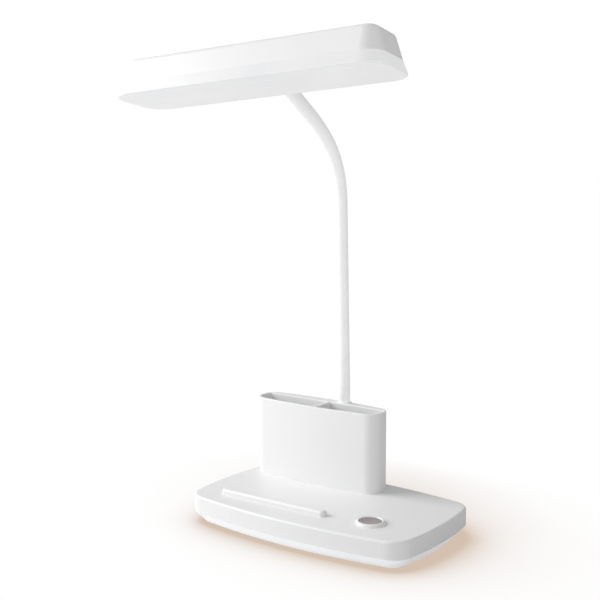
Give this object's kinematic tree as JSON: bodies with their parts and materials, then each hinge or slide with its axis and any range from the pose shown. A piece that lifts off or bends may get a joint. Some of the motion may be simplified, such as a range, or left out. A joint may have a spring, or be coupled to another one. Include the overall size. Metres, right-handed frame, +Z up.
{
  "type": "desk lamp with pen cup",
  "caption": "Rechargeable desk lamp: a long flat light bar on a bendable gooseneck, over a low base with a divided pen cup, a phone ledge and a power button.",
  "frame": {"origin": "centre of the base's footprint, on the underside of its anti-slip pad", "axes": "+Z up along the lamp's height, -Y towards the user (the side of the phone ledge), +X towards the side with the power button"},
  "size_m": [0.2018, 0.1639, 0.3471],
  "materials": {
    "shell_white": "satin white ABS",
    "tray_white": "satin white ABS, faintly blue",
    "pad_rubber": "matt pale grey soft foam rubber",
    "screw_steel": "zinc-plated steel",
    "battery_wrap": "blue shrink film over a lithium cell",
    "weight_steel": "bare steel plate",
    "bezel_white": "gloss white ABS",
    "button_grey": "warm grey touch button",
    "plunger_black": "black nylon",
    "switch_steel": "tinned steel and black base",
    "board_green": "green solder mask on glass epoxy",
    "inlet_steel": "nickel-plated steel shell",
    "cup_white": "satin white ABS",
    "stud_steel": "zinc-plated steel",
    "ferrule_steel": "white-painted steel",
    "clamp_black": "black nylon",
    "shade_white": "satin white ABS",
    "diffuser_milky": "milky light-spreading acrylic",
    "led_board_white": "white solder mask on an aluminium-filled board",
    "led_yellow": "yellow phosphor over white packages",
    "sleeve_white": "soft white silicone tube",
    "hose_steel": "wound steel gooseneck hose"
  },
  "bodies": {
    "base": {"base_shell": "shell_white", "base_tray": "tray_white", "base_pad": "pad_rubber", "base_screws": "screw_steel", "battery_pack": "battery_wrap", "counterweight": "weight_steel", "button_bezel": "bezel_white", "tact_switch": "switch_steel", "control_board": "board_green", "board_screws": "screw_steel", "charge_board": "board_green", "usb_inlet": "inlet_steel", "pen_cup": "cup_white", "cup_screws": "screw_steel", "neck_stud": "stud_steel", "neck_washer": "stud_steel", "neck_nut": "stud_steel", "neck_sleeve_0": "sleeve_white", "neck_hose_0": "hose_steel"},
    "button": {"power_button": "button_grey", "switch_plunger": "plunger_black"},
    "neck_link_1": {"neck_sleeve_1": "sleeve_white", "neck_hose_1": "hose_steel"},
    "neck_link_2": {"neck_sleeve_2": "sleeve_white", "neck_hose_2": "hose_steel"},
    "neck_link_3": {"neck_sleeve_3": "sleeve_white", "neck_hose_3": "hose_steel"},
    "neck_link_4": {"neck_sleeve_4": "sleeve_white", "neck_hose_4": "hose_steel"},
    "neck_link_5": {"neck_sleeve_5": "sleeve_white", "neck_hose_5": "hose_steel"},
    "neck_link_6": {"neck_sleeve_6": "sleeve_white", "neck_hose_6": "hose_steel"},
    "head": {"neck_sleeve_7": "sleeve_white", "neck_hose_7": "hose_steel", "neck_ferrule": "ferrule_steel", "neck_clamp": "clamp_black", "clamp_screws": "screw_steel", "head_shade": "shade_white", "head_diffuser": "diffuser_milky", "led_board": "led_board_white", "led_chips": "led_yellow", "led_screws": "screw_steel"}
  },
  "joints": [
    {"name": "neck_bend_1_forward", "type": "hinge", "parent": "base", "child": "neck_link_1", "pos_m": [-0.01847, 0.04867, 0.09349], "axis": [0.9945, 0.1045, 0], "range_deg": [-30, 30]},
    {"name": "neck_bend_2_sideways", "type": "hinge", "parent": "neck_link_1", "child": "neck_link_2", "pos_m": [-0.01832, 0.04725, 0.13447], "axis": [-0.1045, 0.9939, 0.0349], "range_deg": [-30, 30]},
    {"name": "neck_bend_3_forward", "type": "hinge", "parent": "neck_link_2", "child": "neck_link_3", "pos_m": [-0.01817, 0.04583, 0.17544], "axis": [0.9945, 0.1045, 0], "range_deg": [-30, 30]},
    {"name": "neck_bend_4_sideways", "type": "hinge", "parent": "neck_link_3", "child": "neck_link_4", "pos_m": [-0.01802, 0.04441, 0.2164], "axis": [-0.1045, 0.9939, 0.0349], "range_deg": [-30, 30]},
    {"name": "neck_bend_5_forward", "type": "hinge", "parent": "neck_link_4", "child": "neck_link_5", "pos_m": [-0.01744, 0.03889, 0.25673], "axis": [0.9945, 0.1045, 0], "range_deg": [-30, 30]},
    {"name": "neck_bend_6_sideways", "type": "hinge", "parent": "neck_link_5", "child": "neck_link_6", "pos_m": [-0.01469, 0.01278, 0.28749], "axis": [-0.0621, 0.5912, 0.8041], "range_deg": [-30, 30]},
    {"name": "neck_bend_7_forward", "type": "hinge", "parent": "neck_link_6", "child": "head", "pos_m": [-0.01103, -0.02204, 0.30877], "axis": [0.9945, 0.1045, 0], "range_deg": [-30, 30]},
    {"name": "button_press", "type": "slide", "parent": "base", "child": "button", "axis": [0, 0, -1], "range_m": [0, 0.0008], "stiffness_N_per_m": 1500, "springref_m": -0.0004}
  ]
}
